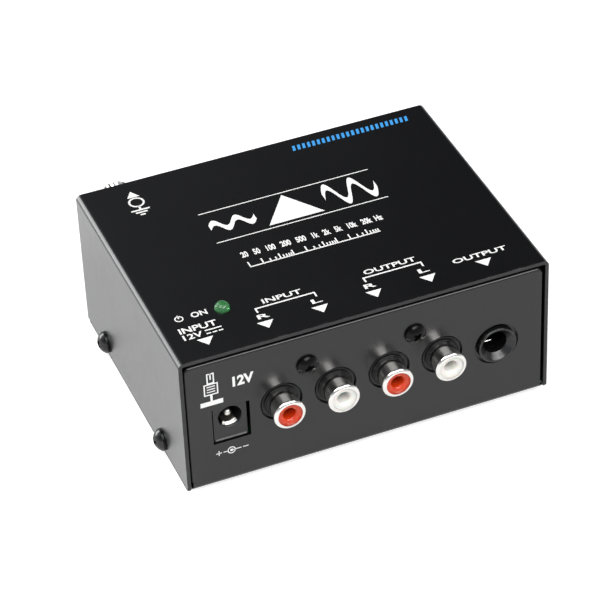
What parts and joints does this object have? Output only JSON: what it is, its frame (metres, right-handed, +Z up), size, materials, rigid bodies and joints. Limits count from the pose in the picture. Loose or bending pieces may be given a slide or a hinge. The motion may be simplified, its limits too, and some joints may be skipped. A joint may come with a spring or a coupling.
{
  "type": "phono preamp",
  "caption": "Small phono preamplifier in a folded steel case, with phono sockets, a power inlet and a quarter inch jack on one panel and a ground terminal on the other.",
  "frame": {"origin": "bottom centre of the overall box, on the surface that the feet stand on", "axes": "-Y is the way the connector panel faces, +X is to the right as one looks at that panel, +Z is up"},
  "size_m": [0.1048, 0.0932, 0.0454],
  "materials": {
    "cover_paint": "satin black paint on steel sheet",
    "chassis_paint": "semi-gloss black paint on steel sheet",
    "black_screw": "black oxide, lightly oiled",
    "foot_rubber": "matte",
    "board_green": "glossy solder mask",
    "tinned_steel": "satin tin plate",
    "black_plastic": "moulded, fine matte texture",
    "jack_plastic": "moulded, semi-gloss",
    "bright_nickel": "bright nickel plate",
    "lamp_green": "tinted clear resin",
    "white_plastic": "moulded",
    "red_plastic": "moulded",
    "contact_brass": "tin-flashed brass",
    "wire_green": "vinyl insulation",
    "chip_plastic": "moulded epoxy",
    "film_red": "dipped epoxy",
    "ceramic_tan": "dipped ceramic",
    "sleeve_blue": "shrunk vinyl sleeve"
  },
  "bodies": {
    "case": {"top_cover": "cover_paint", "chassis": "chassis_paint", "cover_screws": "black_screw", "block_screws": "black_screw", "rubber_feet": "foot_rubber", "circuit_board": "board_green", "standoffs": "tinned_steel", "board_screws": "tinned_steel", "input_block": "black_plastic", "output_block": "black_plastic", "input_right_shell": "bright_nickel", "input_left_shell": "bright_nickel", "output_right_shell": "bright_nickel", "output_left_shell": "bright_nickel", "input_right_insert": "red_plastic", "input_left_insert": "white_plastic", "output_right_insert": "red_plastic", "output_left_insert": "white_plastic", "input_right_contact": "contact_brass", "input_left_contact": "contact_brass", "output_right_contact": "contact_brass", "output_left_contact": "contact_brass", "inlet_body": "black_plastic", "inlet_pin": "bright_nickel", "inlet_spring": "bright_nickel", "jack_body": "jack_plastic", "jack_tip_spring": "bright_nickel", "jack_ring_spring": "bright_nickel", "jack_sleeve_spring": "bright_nickel", "lamp_lens": "lamp_green", "lamp_spacer": "white_plastic", "lamp_leads": "tinned_steel", "ground_post": "bright_nickel", "ground_post_nut": "bright_nickel", "ground_lug": "tinned_steel", "ground_wire": "wire_green", "amplifier_chip": "chip_plastic", "amplifier_chip_legs": "tinned_steel", "film_capacitors": "film_red", "ceramic_capacitors": "ceramic_tan", "coupling_capacitors": "sleeve_blue", "reservoir_capacitor": "sleeve_blue", "output_capacitor": "sleeve_blue", "voltage_regulator": "chip_plastic", "regulator_legs": "tinned_steel", "resistor_bodies": "ceramic_tan", "resistor_leads": "tinned_steel", "polarity_diode": "chip_plastic", "diode_leads": "tinned_steel"},
    "washer": {"ground_washer": "bright_nickel"},
    "thumb_nut": {"ground_thumb_nut": "bright_nickel"}
  },
  "joints": [
    {"name": "washer_slide", "type": "slide", "parent": "case", "child": "washer", "axis": [0, 1, 0], "range_m": [-0.00021, 0.0021]},
    {"name": "nut_turn", "type": "hinge", "parent": "washer", "child": "thumb_nut", "pos_m": [-0.037, 0.04215, 0.035], "axis": [0, 1, 0], "range_deg": [-108.5, 1080.5]}
  ],
  "couplings": [
    {"joint": "nut_turn", "follows": "washer_slide", "rad_per_m": 8976}
  ]
}
